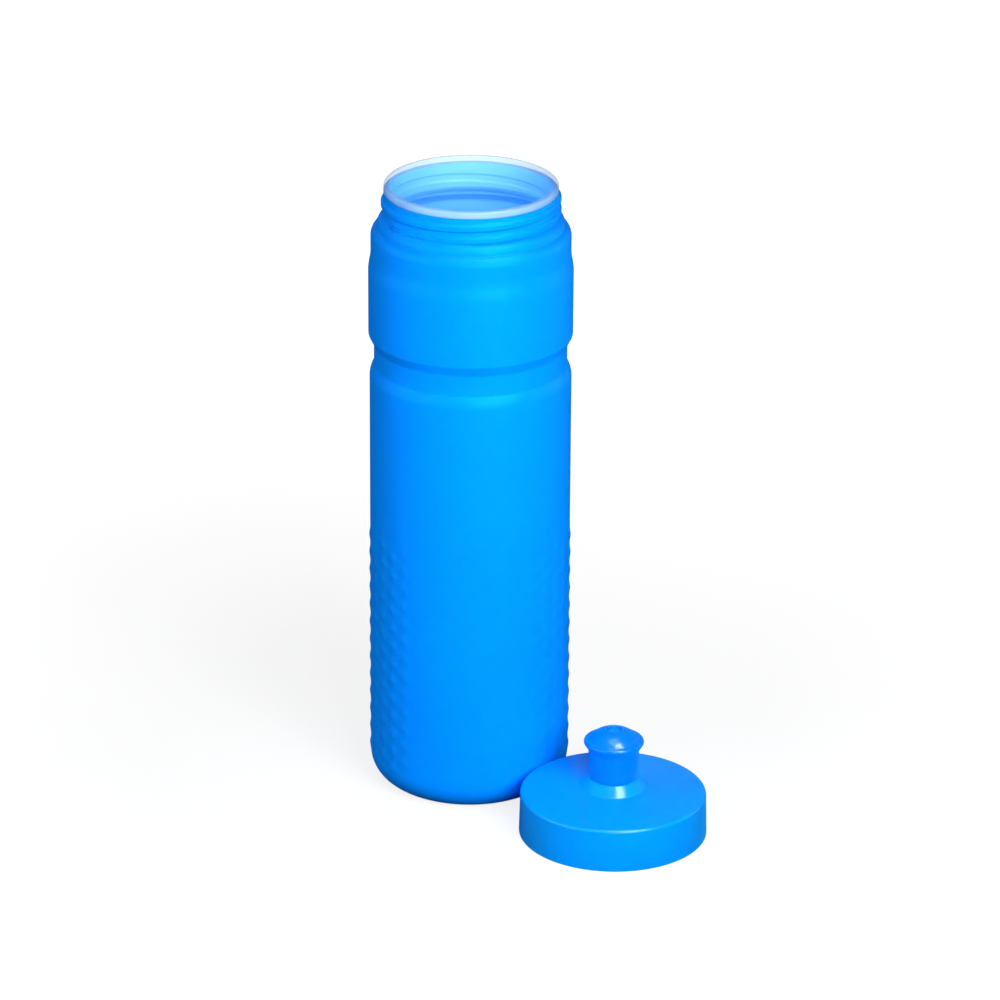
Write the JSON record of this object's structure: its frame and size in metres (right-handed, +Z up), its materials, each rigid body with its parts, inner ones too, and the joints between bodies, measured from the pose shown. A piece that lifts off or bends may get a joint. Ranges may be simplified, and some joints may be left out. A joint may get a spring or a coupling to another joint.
{
  "type": "squeeze bottle",
  "caption": "Tall round soft plastic squeeze bottle with a waist groove and an open screw neck, beside its screw lid with a push-pull drinking spout.",
  "frame": {"origin": "centre of the bottle's standing ring, on the surface it stands on", "axes": "+Z up along the bottle's axis; -Y is the front, and the lid stands towards +X and -Y"},
  "size_m": [0.1237, 0.1195, 0.2323],
  "materials": {
    "shell_blue": "satin frosted blue low-density polyethylene",
    "liner_natural": "satin natural low-density polyethylene, milky and see-through",
    "lid_blue": "semi-gloss moulded blue polypropylene",
    "seal_silicone": "satin clear-white silicone",
    "spout_blue": "semi-gloss moulded blue thermoplastic"
  },
  "bodies": {
    "bottle": {"bottle_shell": "shell_blue", "inner_liner": "liner_natural"},
    "seal": {"lid_gasket": "seal_silicone"},
    "lid": {"lid_shell": "lid_blue"},
    "spout": {"spout": "spout_blue"}
  },
  "joints": [
    {"name": "lid_lift", "type": "slide", "parent": "bottle", "child": "seal", "axis": [0, 0, 1], "range_m": [0, 0.24]},
    {"name": "lid_turn", "type": "hinge", "parent": "seal", "child": "lid", "pos_m": [0.05263, -0.0484, 0], "axis": [0, 0, 1], "continuous": true},
    {"name": "spout_pull", "type": "slide", "parent": "lid", "child": "spout", "axis": [0, 0, 1], "range_m": [0, 0.005]}
  ]
}
